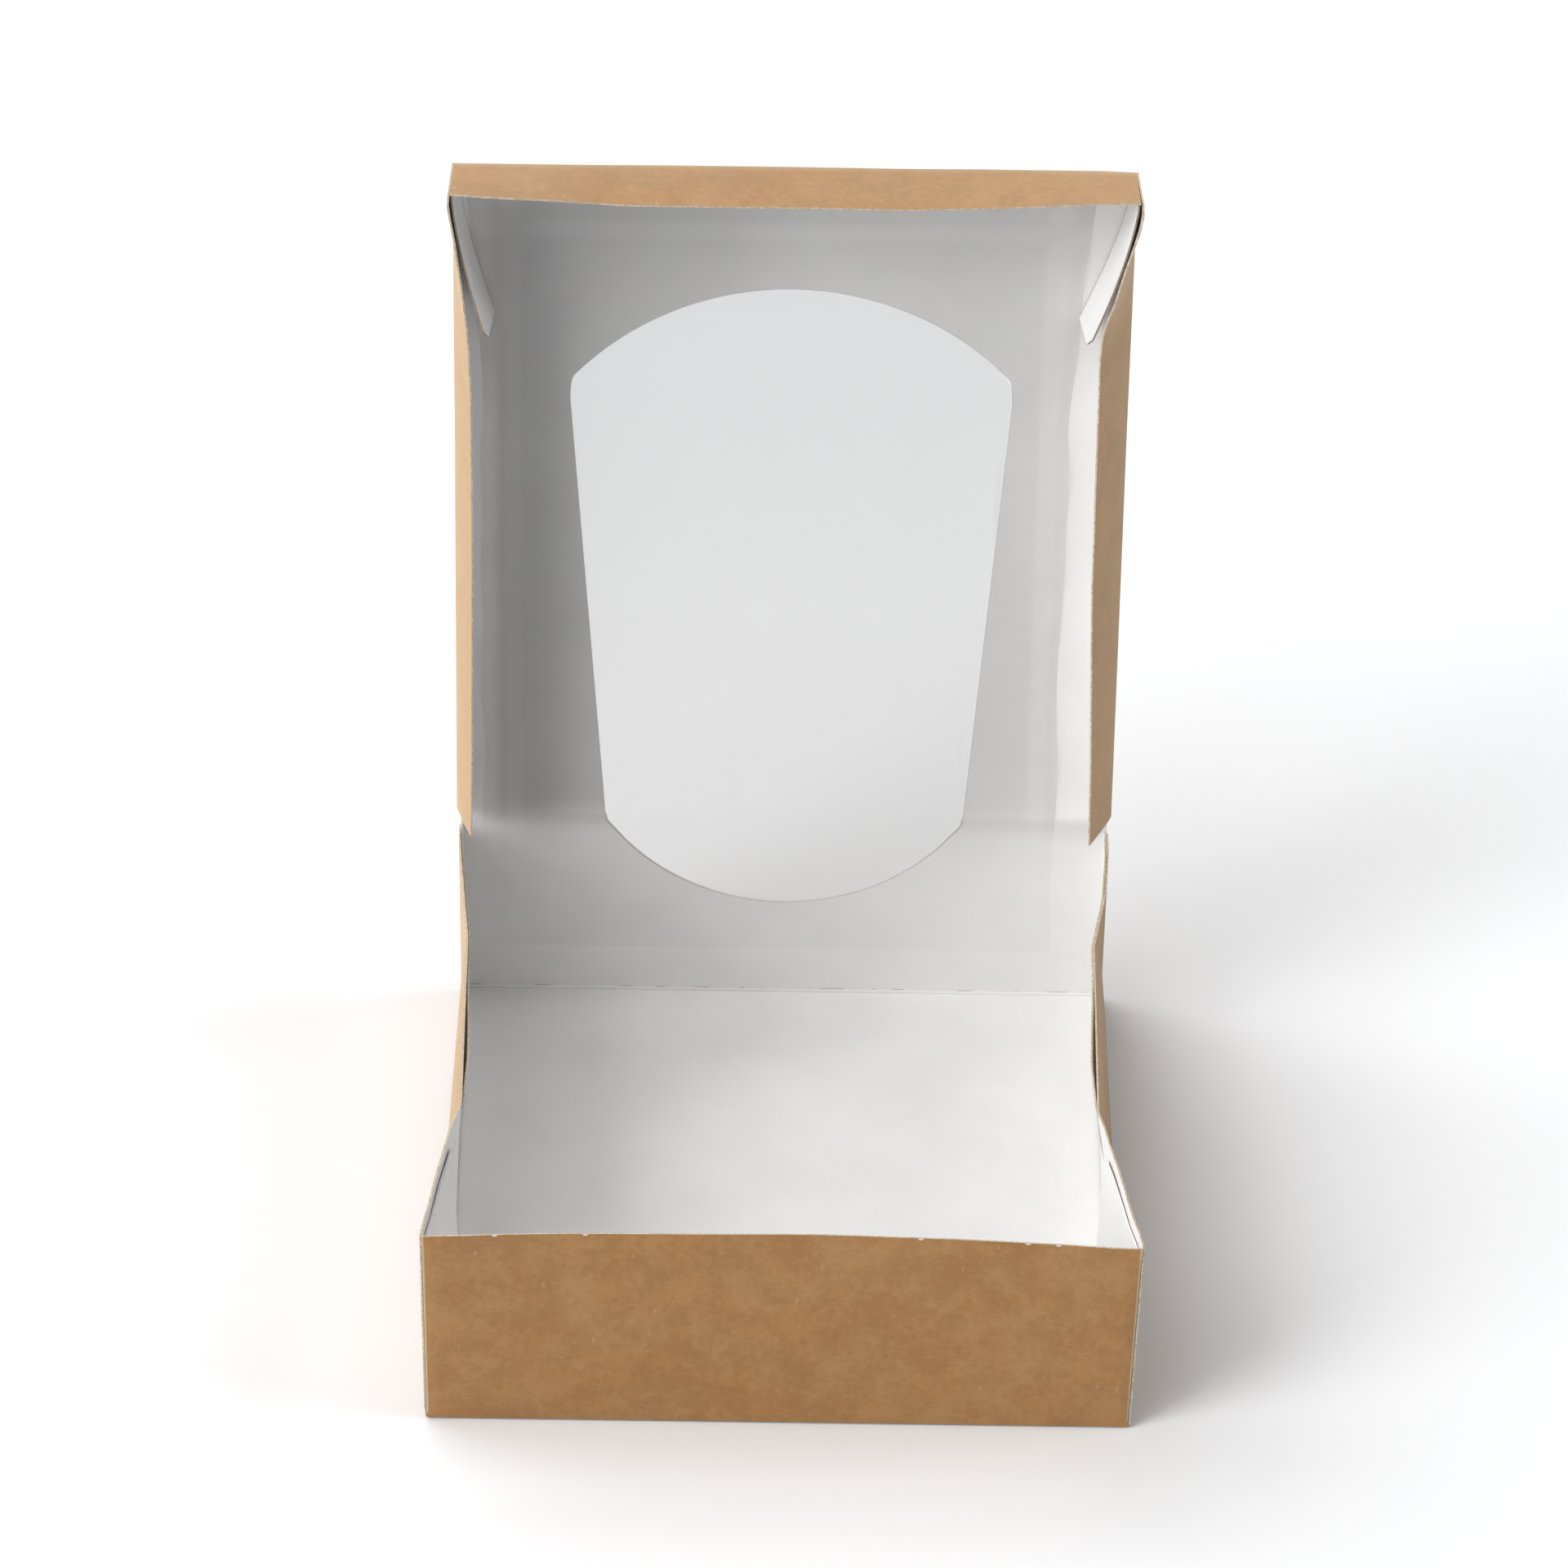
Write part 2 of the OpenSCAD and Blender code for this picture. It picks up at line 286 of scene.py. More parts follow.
bpy.ops.mesh.select_all(action="SELECT")
bpy.ops.mesh.normals_make_consistent(inside=False)
bpy.ops.object.mode_set(mode="OBJECT")

# %% Punch the window
choose_object(board)
punch = board.modifiers.new("window", "BOOLEAN")
punch.operation = "DIFFERENCE"
punch.object = die
punch.solver = "FAST"
before = len(board.data.polygons)
bpy.ops.object.modifier_apply(modifier=punch.name)
bpy.data.objects.remove(die)
spots = places(board)
in_middle = np.abs(spots[:, 0]) < HALF_W - 1 * MM
for name, low, high in (("back_wall", HALF_D, CREASE_Y), ("lid", CREASE_Y, LID_END)):
    in_panel = (spots[:, 1] > low - SAME_PLACE / 2) & (spots[:, 1] < high + SAME_PLACE / 2)
    rows = np.nonzero(in_middle & in_panel)[0]
    board.vertex_groups[name].add([int(i) for i in rows], 1, "REPLACE")
print("window punched:", before, "to", len(board.data.polygons), "faces")

# %% [markdown]
# ## Remembering the flat sheet
#
# Paper fibres run in the sheet, whatever way it is folded later. The flat place of each point is stored
# as a UV map in metres, so the brown mottling and the grain follow the board round every fold.


# %% Store the flat layout
def keep_layout(sheet):
    """Stores where each point lies now, while the sheet is flat."""
    layout = sheet.data.uv_layers.new(name="sheet")
    spots = places(sheet)
    loops = np.empty(len(sheet.data.loops), int)
    sheet.data.loops.foreach_get("vertex_index", loops)
    layout.data.foreach_set("uv", spots[loops][:, :2].reshape(-1))


keep_layout(board)
print("layout stored for", len(board.data.loops), "face corners")

# %% [markdown]
# ## Folding
#
# The outermost panels are folded first, while their fold lines still lie flat on an axis. The tabs stand
# up, then the walls that carry them, and the lid goes up with the back wall, leaning back a little.

# %% Fold the box
bpy.ops.object.mode_set(mode="EDIT")
BACK_FOLD, FRONT_FOLD = (0, HALF_D, 0), (0, -HALF_D, 0)
for side, out in (("left", -1), ("right", 1)):
    for part in ("_front_tab", "_rear_tab", "_wall"):
        fold(board, [side + part], "Y", (out * HALF_W, 0, 0), -90 * out)
fold(board, ["lid_front"], "X", (0, LID_END, 0), 90)
fold(board, ["lid", "lid_front"], "X", (0, CREASE_Y, 0), -lid_back)
back = ["back_wall", "lid", "lid_front", "left_rear_tab", "right_rear_tab"]
fold(board, back, "X", BACK_FOLD, 90)
fold(board, ["front_wall", "left_front_tab", "right_front_tab"], "X", FRONT_FOLD, -90)
bpy.ops.object.mode_set(mode="OBJECT")
print("folded to", places(board).min(0).round(4), places(board).max(0).round(4))

# %% [markdown]
# ## Leaning walls
#
# A glued box like this folds flat for delivery, so its side walls are scored at 45 degrees from the
# bottom corners. Standing up, the end triangles turn about the upright corners and the long panel
# between them leans in. The profiles give how far each rim stands in from its fold, in mm, at distances
# from the corner, as they look in the photograph. They differ from end to end, as on any folded box.

# %% Profiles of the side walls
LEFT = {
    "front": ([0, 5, 10, 22, 32, 39, 48], [0, 0, 0.35, 1.5, 2.8, 3.7, 5.6]),
    "rear": ([0, 6, 17, 24, 36, 48], [0, 0.15, 1.0, 1.7, 2.8, 4.0]),
}
RIGHT = {
    "front": ([0, 5, 16, 29.5, 36, 42, 48], [0, 0.15, 1.6, 3.5, 4.7, 5.5, 6.7]),
    "rear": ([0, 10, 28, 39, 48], [0, 0.3, 1.8, 3.6, 5.1]),
}
BOW = (
    [-75, -67, -60, -49, -37, -18, 2, 10, 20, 37, 49, 61, 70, 75],
    [0.9, 1.3, 1.8, 2.4, 2.7, 2.9, 3.3, 3.3, 3.0, 2.4, 1.7, 0.9, 0.1, 0],
)
SPREAD = {-1: (0.35, 0.65), 1: (0.0, 0.85)}
REAR_GAP = ([53, 60, 66, 78, 88, 100, 158], [0.25, 0.55, 0.85, 0.65, 0.35, 0.1, 0.05])
TAB_GAP = 0.06 * MM
CORNER_REACH, REAR_REACH = 11 * MM, 14 * MM


def fades(distance, reach):
    """1 at a corner or a foot, 0 from its reach onwards."""
    return np.clip(1 - distance / reach, 0, 1)


def inset(walls, from_front, z):
    """How far a side wall stands in, at distances from the front wall and the floor."""
    share = np.clip((from_front - WALL_H) / (2 * CORNER), 0, 1)
    near = np.minimum(z, from_front) / MM
    far = np.minimum(z, 2 * HALF_D - from_front) / MM
    front, rear = np.interp(near, *walls["front"]), np.interp(far, *walls["rear"])
    return ((1 - share) * front + share * rear) * MM


def bow(x, z):
    """How far the front wall bows in, from its foot to the rim."""
    return np.interp(x / MM, *BOW) * MM * np.clip(z / WALL_H, 0, 1) ** 1.3


def spread(out, from_front, z):
    """How far the front corners stand out, from the floor to the rim."""
    height = np.interp(z / WALL_H, (0, 1), SPREAD[out]) * MM * np.clip(z / MM, 0, 1)
    return height * fades(from_front, CORNER_REACH)


# %% Lean the side walls
WALL_DIP, TAB_DIP = 1.5 * MM, 1.3 * MM
CORNER_BACK = 0.25 * MM
spots = places(board)
for side, out, walls in (("left", -1, LEFT), ("right", 1, RIGHT)):
    rows = points_of(board, side + "_wall")
    from_front, z = spots[rows, 1] + HALF_D, spots[rows, 2]
    dip = WALL_DIP * fades(2 * HALF_D - from_front, REAR_REACH)
    spots[rows, 0] = out * (HALF_W - inset(walls, from_front, z) + spread(out, from_front, z))
    spots[rows, 1] += (bow(out * HALF_W, z) + CORNER_BACK) * fades(from_front, CORNER_REACH)
    spots[rows, 2] = z * (1 - dip / WALL_H)
    print(side, "wall leans in by up to", round(inset(walls, from_front, z).max() / MM, 1), "mm")

# %% Line them with the tabs
END_X = HALF_W - BOARD - TAB_GAP
REAR_TAB_FOOT = 1.3 * MM
FRONT_TAB_OFF, FRONT_TAB_END, FRONT_TAB_FOOT = 0.14 * MM, 0.3 * MM, 0.02
for side, out, walls in (("left", -1, LEFT), ("right", 1, RIGHT)):
    rows = points_of(board, side + "_rear_tab")
    from_front, z = spots[rows, 1] + HALF_D, spots[rows, 2]
    from_rear = 2 * HALF_D - from_front
    dip = TAB_DIP * fades(from_rear, REAR_REACH)
    off = np.interp(from_front / MM, *REAR_GAP) * MM
    off += REAR_TAB_FOOT * np.clip(from_rear / WALL_H, 0, 1) * fades(z, 30 * MM)
    spots[rows, 0] = out * (END_X - inset(walls, from_front, z) - off)
    spots[rows, 2] = z * (1 - dip / WALL_H)

    rows = points_of(board, side + "_front_tab")
    from_front, z = spots[rows, 1] + HALF_D, spots[rows, 2]
    along = from_front / FRONT_TAB
    held = inset(walls, from_front, np.maximum(z, from_front))
    held += (FRONT_TAB_OFF + FRONT_TAB_END * along**2) * np.clip(from_front / (6 * MM), 0, 1)
    held += FRONT_TAB_FOOT * (FRONT_TAB_H - z) * along
    spots[rows, 0] = out * (END_X - held + spread(out, from_front, z))
    spots[rows, 1] += bow(out * HALF_W, z)
    print(side, "front tab stands off by up to", round(held.max() / MM, 1), "mm")

# %% Fit the end walls between the side walls
for name in ("front_wall", "back_wall"):
    rows = points_of(board, name)
    standing = (spots[rows, 2] > 0.2 * MM) & (spots[rows, 2] < CREASE_Z - 0.2 * MM)
    spots[rows[standing], 0] *= END_X / HALF_W
    if name == "front_wall":
        for out in (-1, 1):
            half = rows[standing & (spots[rows, 0] * out > 0)]
            spots[half, 0] *= 1 + spread(out, 0, spots[half, 2]) / END_X
        spots[rows, 1] += bow(spots[rows, 0], spots[rows, 2])
put_places(board, spots)
print("rim of the front bows in by", max(BOW[1]), "mm")

# %% [markdown]
# ## The lid on its crease
#
# The lid is half a millimetre wider than the tray on each side, because it closes over it. A scored
# crease never opens as a sharp line: the board keeps a low ridge on its inner side, which catches light.


# %% How the lid is warped
RIDGE_H, RIDGE_REACH, RIDGE_Z = 0.5 * MM, 2.6 * MM, CREASE_Z - 0.6 * MM


def ridge(z):
    """How far the sheet stands forward near the lid's crease."""
    return RIDGE_H * np.exp(-(((z - RIDGE_Z) / RIDGE_REACH) ** 2))


LID_BACK = ([-75, -46, -25, 0, 25, 40, 68, 75], [0.8, 1.0, 1.5, 1.65, 1.5, 1.9, 2.0, 1.3])
LID_BOW = (
    [-75, -67, -52, -45, -38, -24, -10, 25, 39, 53, 67, 75],
    [0, 0.5, 1.1, 1.5, 2.0, 2.2, 2.2, 2.2, 1.9, 1.2, 0.4, 0],
)
LID_NARROWS = 0.0053
LID_UP = np.array([0, math.sin(math.radians(lid_back)), math.cos(math.radians(lid_back))])
LID_OUT = np.array([0, math.cos(math.radians(lid_back)), -math.sin(math.radians(lid_back))])


def warp_lid(spots):
    """Sets the lid back a little towards its far end, more on the right, and narrows it there."""
    along = np.clip((spots[:, 2] - CREASE_Z) / LID_LEN, 0, 1.1)
    back = np.interp(spots[:, 0] / MM, *LID_BACK) * MM * along**1.3
    spots = spots + np.outer(back, LID_OUT)
    spots[:, 0] *= 1 - LID_NARROWS * np.minimum(along * 1.6, 1)
    return spots


# %% Widen the lid and raise the crease's ridge
LID_PANEL_HALF_W = LID_HALF_W - BOARD * 0.99
spots = places(board)
above = np.clip((spots[:, 2] - CREASE_Z) / MM, 0, 1)
on_lid = above > 0
spots[on_lid, 0] *= 1 + above[on_lid] * (LID_PANEL_HALF_W - HALF_W) / HALF_W
rows = points_of(board, "lid_front")
crease_line = np.array([0, hinge["pos_m"][1] + 0.2 * MM, CREASE_Z])
depth = -(spots[rows] - crease_line) @ LID_OUT
sag = np.interp(spots[rows, 0] / MM, *LID_BOW) * MM * np.clip(depth / LID_WALL, 0, 1) ** 1.3
spots[rows] -= np.outer(sag, LID_UP)
spots = warp_lid(spots)
near = np.abs(spots[:, 2] - CREASE_Z) < 6 * MM
near &= np.abs(spots[:, 1] - HALF_D) < 3 * MM
spots[near, 1] -= ridge(spots[near, 2])
put_places(board, spots)
print("board box", spots.min(0).round(4), spots.max(0).round(4))

# %% [markdown]
# ## Rounding and thickness
#
# Right-angle folds in board are round, about as wide as the board is thick, so the fold edges get a small
# bevel while the sheet is still a single layer. Solidify then grows the thickness inward. Its material
# offsets put white on the inner side and the cream of cut fibres on the rim, as on the real sheet.


# %% Bevel the folds
WHITE, CUT = 1, 2
FOLD_ROUND = 0.32 * MM
FOLD_ANGLE, SMOOTH_ANGLE = math.radians(55), math.radians(32)


def thicken(sheet, materials):
    """Gives a sheet its thickness: the first material outside, then the inner side's and the rim's."""
    for material in materials:
        sheet.data.materials.append(material)
    shell = sheet.modifiers.new("thickness", "SOLIDIFY")
    shell.thickness = BOARD
    shell.offset = -1
    shell.use_even_offset = True
    shell.material_offset = WHITE
    shell.material_offset_rim = CUT
    bpy.context.view_layer.objects.active = sheet
    bpy.ops.object.modifier_apply(modifier=shell.name)


choose_object(board)
bpy.ops.object.mode_set(mode="EDIT")
bpy.ops.mesh.select_all(action="DESELECT")
bpy.ops.mesh.select_mode(type="EDGE")
bpy.ops.mesh.edges_select_sharp(sharpness=FOLD_ANGLE)
bpy.ops.mesh.bevel(offset=FOLD_ROUND, segments=2, affect="EDGES")
bpy.ops.mesh.select_mode(type="VERT")
bpy.ops.object.mode_set(mode="OBJECT")
print("rounded blank", len(board.data.polygons), "faces")

# %% [markdown]
# ## One class for shader sums
#
# Writing a material as formulas is easier to read than a page of links. Wire wraps a socket, and each
# operator on it adds one Math node. Finish builds a material: its method node adds any other node, and its
# other methods name the few that come back in every finish.


# %% The shader helpers
class Wire:
    """A socket that can be used in sums. Each operator adds a Math node."""

    def __init__(self, finish, socket):
        self.finish = finish
        self.socket = socket

    def math(self, operation, *values):
        return self.finish.node("ShaderNodeMath", {"operation": operation}, dict(enumerate(values)))

    def __add__(self, other):
        return self.math("ADD", self, other)

    def __sub__(self, other):
        return self.math("SUBTRACT", self, other)

    def __rsub__(self, other):
        return self.math("SUBTRACT", other, self)

    def __mul__(self, other):
        return self.math("MULTIPLY", self, other)

    def __truediv__(self, other):
        return self.math("DIVIDE", self, other)

    def __pow__(self, other):
        return self.math("POWER", self, other)

    __radd__ = __add__
    __rmul__ = __mul__

    def size(self):
        return self.math("ABSOLUTE", self)

    def or_more(self, other):
        """The larger of the two."""
        return self.math("MAXIMUM", self, other)

    def between(self, low, high):
        """0 at low, 1 at high, smooth between."""
        settings = {"interpolation_type": "SMOOTHSTEP"}
        return self.finish.node("ShaderNodeMapRange", settings, {0: self, 1: low, 2: high})


class Finish:
    """A material, or the room's world, built by formula."""

    def __init__(self, name, library=bpy.data.materials):
        self.material = library.new(name)
        self.material.use_nodes = True
        self.tree = self.material.node_tree
        self.tree.nodes.clear()

    def node(self, kind, settings=None, values=None, out=0):
        node = self.tree.nodes.new(kind)
        settings = dict(settings or {})
        stops = settings.pop("stops", None)
        for key, value in settings.items():
            setattr(node, key, value)
        if stops:
            while len(node.color_ramp.elements) < len(stops):
                node.color_ramp.elements.new(0.5)
            for element, (place, colour) in zip(node.color_ramp.elements, stops):
                element.position = place
                element.color = colour
        for key, value in (values or {}).items():
            if isinstance(value, Wire):
                self.tree.links.new(value.socket, node.inputs[key])
            else:
                node.inputs[key].default_value = value
        return Wire(self, node.outputs[out]) if len(node.outputs) else None

    def sheet_place(self, scale=(1, 1, 1), turn=0):
        """The flat sheet's coordinates in metres, stretched and turned for a pattern."""
        place = self.node("ShaderNodeUVMap", {"uv_map": "sheet"})
        values = {"Vector": place, "Scale": scale, "Rotation": (0, 0, math.radians(turn))}
        return self.node("ShaderNodeMapping", {}, values)

    def sheet_axes(self):
        """The flat sheet's x and y in metres, as two numbers."""
        split = self.node("ShaderNodeSeparateXYZ", {}, {0: self.sheet_place()})
        return split, Wire(self, split.socket.node.outputs[1])

    def noise(self, place, scale, detail=3.0, rough=0.5):
        values = {"Vector": place, "Scale": scale, "Detail": detail, "Roughness": rough}
        return self.node("ShaderNodeTexNoise", {}, values)

    def blend(self, factor, first, second):
        """One colour where the factor is 0, the other where it is 1."""
        return self.node("ShaderNodeMix", {"data_type": "RGBA"}, {0: factor, 6: first, 7: second}, out=2)

    def bump(self, height, distance, strength=1.0):
        values = {"Height": height, "Distance": distance, "Strength": strength}
        return self.node("ShaderNodeBump", {}, values)

    def background_seen(self):
        """1 for the rays that see the background: the camera's, and those of gloss and glass."""
        camera, gloss, glass = [self.node("ShaderNodeLightPath", out=number) for number in (0, 3, 6)]
        seen = camera + gloss + glass
        return seen.math("MINIMUM", seen, 1)

    def surface(self, shader, output="ShaderNodeOutputMaterial"):
        self.node(output, {}, {"Surface": shader})
        return self.material


# %% [markdown]
# ## Kraft, white liner, cut edge
#
# Unbleached kraft is mottled in soft patches some millimetres wide, drawn out along the sheet, with fine
# fibres lying every way over it and a few dark specks. The white side is a smooth coated liner with a
# faint grain. A cut edge shows the pale layers between the two. The loose fibres that stand up from kraft
# lighten it where it is seen at a slant, and a sheen does that here.


# %% The kraft side
KRAFT = {
    "red": ((0.314, 0.141, 0.037, 1), (0.394, 0.187, 0.056, 1)),
    "tan": ((0.311, 0.154, 0.046, 1), (0.390, 0.204, 0.069, 1)),
    "light fibre": (0.64, 0.44, 0.24, 1),
    "dark fibre": (0.20, 0.10, 0.035, 1),
    "speck": (0.19, 0.10, 0.04, 1),
    "fleck": (0.66, 0.50, 0.32, 1),
    "nick": (0.85, 0.80, 0.72, 1),
    "worn": (0.62, 0.50, 0.33, 1),
}
GRAIN_TURNS = {12: 2200, 74: 2100, -48: 2300}


def kraft_colour(kraft, patches, threads):
    """Soft red and tan patches under fibres, dark specks and pale flecks."""
    hues = kraft.noise(kraft.sheet_place((1, 0.9, 1), 15), 85, 3.0)
    clouds = kraft.noise(kraft.sheet_place(), 30, 2.0)
    grain = kraft.noise(kraft.sheet_place((1, 0.85, 1), 9), 620, 2.0, 0.6)
    tone = (patches * 0.55 + clouds * 0.2 + grain * 0.25).between(0.40, 0.60)
    base = kraft.blend(
        hues.between(0.38, 0.62), kraft.blend(tone, *KRAFT["red"]), kraft.blend(tone, *KRAFT["tan"])
    )
    base = kraft.blend(threads.between(0.50, 0.64) * 0.07, base, KRAFT["light fibre"])
    base = kraft.blend((1 - threads.between(0.36, 0.46)) * 0.07, base, KRAFT["dark fibre"])
    specks = kraft.noise(kraft.sheet_place((0.4, 1, 1), 20), 620, 1.0).between(0.73, 0.76)
    flecks = kraft.noise(kraft.sheet_place((1, 0.35, 1), -25), 640, 1.0).between(0.74, 0.77)
    return kraft.blend(flecks * 0.2, kraft.blend(specks * 0.35, base, KRAFT["speck"]), KRAFT["fleck"])


# %% Nicks and a pale fold line on the kraft side
RIM_NICKS = [-59.8 * MM, -40.9 * MM, 29 * MM, 51.3 * MM, 57.6 * MM]
NICK_Y = -HALF_D - WALL_H + 0.1 * MM


def kraft_nicks_and_fold_line(kraft, base):
    """Pale nicks on the front rim and a pale line along the upright front folds."""
    across, along = kraft.sheet_axes()
    from_rim = along - NICK_Y
    for place in RIM_NICKS:
        reach = ((across - place) ** 2 + (from_rim * 1.5) ** 2) ** 0.5
        base = kraft.blend((1 - reach.between(0.3 * MM, 0.75 * MM)) * 0.8, base, KRAFT["nick"])
    off_fold = (across.size() - HALF_W).size().between(0.25 * MM, 0.55 * MM)
    on_front = 1 - from_rim.between(46 * MM, 47 * MM)
    return kraft.blend((1 - off_fold) * on_front * 0.7, base, KRAFT["worn"])


def kraft_finish():
    kraft = Finish("kraft_board")
    patches = kraft.noise(kraft.sheet_place(), 130, 5.0, 0.72)
    layers = [kraft.noise(kraft.sheet_place((0.16, 1, 1), a), n, 2.0, 0.6) for a, n in GRAIN_TURNS.items()]
    threads = (layers[0] + layers[1] + layers[2]) / 3
    base = kraft_nicks_and_fold_line(kraft, kraft_colour(kraft, patches, threads))
    normal = kraft.bump(threads * 0.6 + patches * 0.5, 0.15 * MM, 0.15)
    values = {"Base Color": base, "Roughness": 0.50 + patches * 0.14, "Normal": normal}
    values.update({"Specular IOR Level": 0.4, "Sheen Weight": 0.8, "Sheen Roughness": 0.45})
    values["Sheen Tint"] = (1.0, 0.84, 0.60, 1)
    return kraft.surface(kraft.node("ShaderNodeBsdfPrincipled", {}, values))


# %% The white side
LINER = {
    "dull": ((0.776, 0.758, 0.746, 1), (0.764, 0.762, 0.752, 1)),
    "clear": ((0.822, 0.804, 0.792, 1), (0.810, 0.808, 0.798, 1)),
    "pressed": (0.95, 0.94, 0.93, 1),
    "cracked": (0.35, 0.30, 0.26, 1),
}
SCORE_Y = HALF_D + 1.15 * MM


def score_line(liner, colour):
    """The pressed and partly cracked line at the foot of the back wall."""
    across, along = liner.sheet_axes()
    on_floor = 1 - across.size().between(HALF_W - 1 * MM, HALF_W)
    drift = liner.noise(liner.sheet_place((1, 0, 1)), 60, 3.0) - 0.5
    score = along - SCORE_Y - drift * (0.8 * MM)
    cracks = liner.noise(liner.sheet_place((1, 0, 1)), 130, 2.0).between(0.50, 0.58)
    pressed = (1 - score.size().between(0.12 * MM, 0.38 * MM)) * 0.7
    cracked = (1 - (score - 0.42 * MM).size().between(0.06 * MM, 0.24 * MM)) * cracks * 0.5
    colour = liner.blend(pressed * on_floor, colour, LINER["pressed"])
    return liner.blend(cracked * on_floor, colour, LINER["cracked"])


def liner_finish():
    liner = Finish("white_liner")
    weave = liner.noise(liner.sheet_place((0.05, 1, 1)), 1500, 2.0)
    warp = liner.noise(liner.sheet_place((1, 0.05, 1)), 1500, 2.0)
    clouds = liner.noise(liner.sheet_place(), 40, 3.0)
    tone = (weave * 0.1 + warp * 0.1 + clouds * 0.8).between(0.3, 0.7)
    hues = liner.noise(liner.sheet_place(), 90, 2.0).between(0.35, 0.65)
    colour = liner.blend(tone, liner.blend(hues, *LINER["dull"]), liner.blend(hues, *LINER["clear"]))
    normal = liner.bump(weave + warp, 0.02 * MM, 0.05)
    values = {"Base Color": score_line(liner, colour), "Roughness": 0.36 + clouds * 0.16, "Normal": normal}
    values["Specular IOR Level"] = 0.4
    return liner.surface(liner.node("ShaderNodeBsdfPrincipled", {}, values))


# %% The cut edge
EDGE = {
    "fibres": ((0.46, 0.36, 0.25, 1), (0.68, 0.58, 0.46, 1)),
    "clean cut": (0.80, 0.78, 0.76, 1),
    "in the slit": (0.12, 0.08, 0.05, 1),
    "in the lid": (0.24, 0.18, 0.13, 1),
}
SLIT_NEAR, SLIT_FAR = -HALF_D - 8 * MM, -HALF_D - 34 * MM


def edge_finish():
    """Pale fibres, clean at the window and the front tabs, with painted shade on the front tabs' edges along
    their slits and on the edges of the lid's tabs.
    """
    edge = Finish("cut_edge")
    fibres = edge.noise(edge.node("ShaderNodeTexCoord", {}, out=3), 1400, 3.0, 0.6)
    colour = edge.blend(fibres.between(0.35, 0.65), *EDGE["fibres"])
    across, along = edge.sheet_axes()
    across, up = across.size(), along - CREASE_Y
    window = 1 - across.between(SHOULDER_X + 1.2 * MM, SHOULDER_X + 3.2 * MM)
    window = window * up.between(WINDOW_LOW - 2.8 * MM, WINDOW_LOW - 1.8 * MM)
    window = window * (1 - up.between(WINDOW_TOP + 2.1 * MM, WINDOW_TOP + 3.1 * MM))
    before_fold = 1 - along.between(-HALF_D - 1 * MM, -HALF_D - 0.5 * MM)
    front_tabs = across.between(HALF_W + 0.5 * MM, HALF_W + 1 * MM) * before_fold
    colour = edge.blend(window.or_more(front_tabs), colour, EDGE["clean cut"])
    # Painted shade: the front tabs' cut edges are darkened along the slits, where shade falls between tab and
    # side wall.
    slit = along.between(SLIT_FAR, SLIT_FAR + 3 * MM) * (1 - along.between(SLIT_NEAR, SLIT_NEAR + 1.5 * MM))
    colour = edge.blend(front_tabs * slit * 0.85, colour, EDGE["in the slit"])
    # Painted shade: the cut edges of the lid's tabs are darkened.
    lid_tabs = across.between(LID_HALF_W, LID_HALF_W + 0.5 * MM)
    lid_tabs = lid_tabs * along.between(LID_END, LID_END + 0.5 * MM)
    colour = edge.blend(lid_tabs * 0.8, colour, EDGE["in the lid"])
    values = {"Base Color": colour, "Roughness": 0.85, "Normal": edge.bump(fibres, 0.2 * MM, 0.5)}
    return edge.surface(edge.node("ShaderNodeBsdfPrincipled", {}, values))


paper = [kraft_finish(), liner_finish(), edge_finish()]
print("finishes", [m.name for m in paper])

# %% Thicken the board
thicken(board, paper)
choose_object(board)
bpy.ops.object.shade_smooth_by_angle(angle=SMOOTH_ANGLE)
print("thick board", len(board.data.polygons), "faces")

# %% [markdown]
# ## The lid's side walls and tabs
#
# Open, the lid's side walls lean in and its tabs have swung loose. Closed, the tray's corners push them out
# straight again. They are made as pieces of their own: each starts flat beside the lid, is folded up, leaned,
# and then goes through the same folds as the lid.

# %% Profiles of the lid's walls
LID_LEFT = (
    [0, 20, 69, 110, 124, 130, 138, 147, 152, 156, 158.6],
    [4.1, 4.3, 4.6, 4.5, 4.0, 3.4, 2.4, 1.2, 0.3, -0.3, 0],
)
LID_RIGHT = (
    [0, 19, 65, 110, 121, 125, 130, 135, 140, 144, 148, 151, 154.5, 158.6],
    [5.9, 6.1, 7.4, 7.6, 7.7, 7.6, 6.8, 4.9, 3.7, 2.6, 1.3, 0.4, -0.5, -0.3],
)
LID_TAB, LID_TAB_H = 34.4 * MM, 18.2 * MM
LID_TABS = {"left": (-1, 8.4, 7.5, 1.4), "right": (1, 11.0, 9.7, 1.45)}
REAR_SLANT = 2.3 * MM


def raise_lid_part(sheet):
    """Takes a part that is folded beside the flat lid through the lid's own folds."""
    bpy.ops.object.mode_set(mode="EDIT")
    fold(sheet, ["part"], "X", (0, CREASE_Y, 0), -lid_back)
    fold(sheet, ["part"], "X", BACK_FOLD, 90)
    bpy.ops.object.mode_set(mode="OBJECT")
    put_places(sheet, warp_lid(places(sheet)))


def finish_part(sheet):
    """Thickens a part, attaches it to the lid and hides the CAD lid."""
    thicken(sheet, paper)
    bpy.ops.object.shade_smooth_by_angle(angle=SMOOTH_ANGLE)
    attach(sheet, "lid")
    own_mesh(sheet)
    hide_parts("lid")
    print(sheet.name, len(sheet.data.polygons), "faces")


def face_out(sheet, out):
    """Points the brown side away from the box."""
    if sheet.data.polygons[0].normal.x * out < 0:
        sheet.data.flip_normals()


